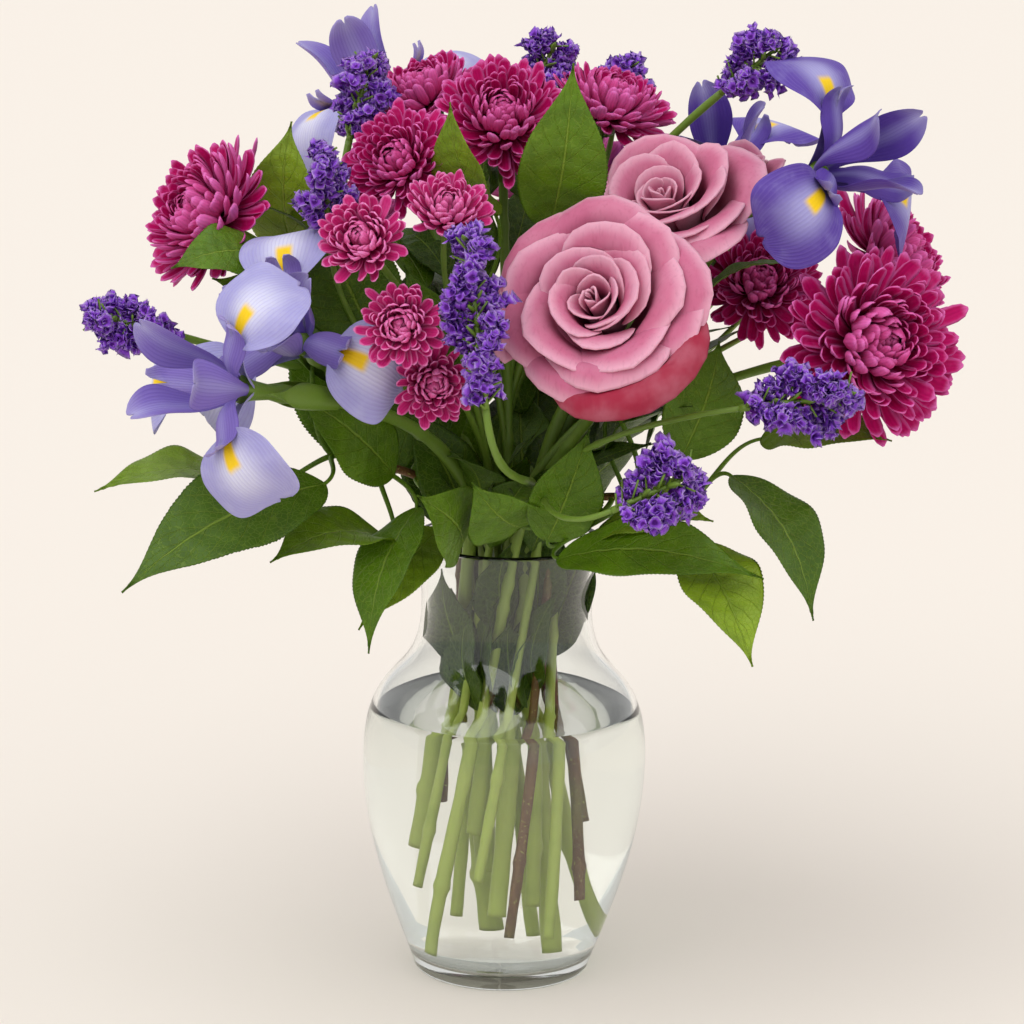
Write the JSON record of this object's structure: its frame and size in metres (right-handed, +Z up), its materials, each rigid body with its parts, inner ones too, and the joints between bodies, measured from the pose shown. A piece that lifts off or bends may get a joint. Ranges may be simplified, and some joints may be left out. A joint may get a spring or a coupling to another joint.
{
  "type": "bouquet of irises and other cut flowers in a glass vase",
  "caption": "Mixed bouquet of irises, roses, chrysanthemums, statice and salal leaves standing in a clear glass vase of water.",
  "frame": {"origin": "middle of the vase's flat underside", "axes": "+Z up, -Y towards the front of the bouquet, +X to the right seen from the front"},
  "size_m": [0.3748, 0.3022, 0.4303],
  "materials": {
    "glass": "clear polished glass",
    "water": "clear water",
    "green_stem": "smooth fresh green stem",
    "woody_stem": "thin brown bark",
    "leaf": "satin leaf with pale veins",
    "iris_petal": "satin lavender-blue petal, yellow signal on the falls",
    "rose_petal": "velvety mauve-pink petal",
    "mum_petal": "matte magenta petal, paler underneath",
    "button_petal": "matte pink petal with pale tips",
    "statice_floret": "papery violet floret"
  },
  "bodies": {
    "root": {"button_1": "button_petal", "button_2": "button_petal", "button_3": "button_petal", "button_4": "button_petal", "button_stem": "green_stem", "iris_1_bloom": "iris_petal", "iris_1_stem": "green_stem", "iris_2_bloom": "iris_petal", "iris_2_stem": "green_stem", "iris_3_bloom": "iris_petal", "iris_3_stem": "green_stem", "iris_4_bloom": "iris_petal", "iris_4_stem": "green_stem", "iris_5_bloom": "iris_petal", "iris_5_stem": "green_stem", "leaf_1": "leaf", "leaf_2": "leaf", "leaf_3": "leaf", "leaf_4": "leaf", "leaf_5": "leaf", "leaf_6": "leaf", "leaf_7": "leaf", "mum_left_1": "mum_petal", "mum_left_2": "mum_petal", "mum_left_3": "mum_petal", "mum_left_stem": "green_stem", "mum_right_1": "mum_petal", "mum_right_2": "mum_petal", "mum_right_3": "mum_petal", "mum_right_stem": "green_stem", "mum_top_1": "mum_petal", "mum_top_2": "mum_petal", "mum_top_3": "mum_petal", "mum_top_4": "mum_petal", "mum_top_stem": "green_stem", "rose_1_bloom": "rose_petal", "rose_1_stem": "woody_stem", "rose_2_bloom": "rose_petal", "rose_2_stem": "woody_stem", "rose_3_bloom": "rose_petal", "rose_3_stem": "woody_stem", "salal_1_stem": "woody_stem", "salal_2_stem": "woody_stem", "salal_3_stem": "woody_stem", "salal_4_stem": "woody_stem", "statice_crown_1": "statice_floret", "statice_crown_2": "statice_floret", "statice_crown_stem": "green_stem", "statice_front_1": "statice_floret", "statice_front_2": "statice_floret", "statice_front_3": "statice_floret", "statice_front_stem": "green_stem", "statice_left_1": "statice_floret", "statice_left_2": "statice_floret", "statice_left_stem": "green_stem", "statice_right_1": "statice_floret", "statice_right_2": "statice_floret", "statice_right_stem": "green_stem", "vase": "glass", "water": "water"}
  },
  "joints": []
}
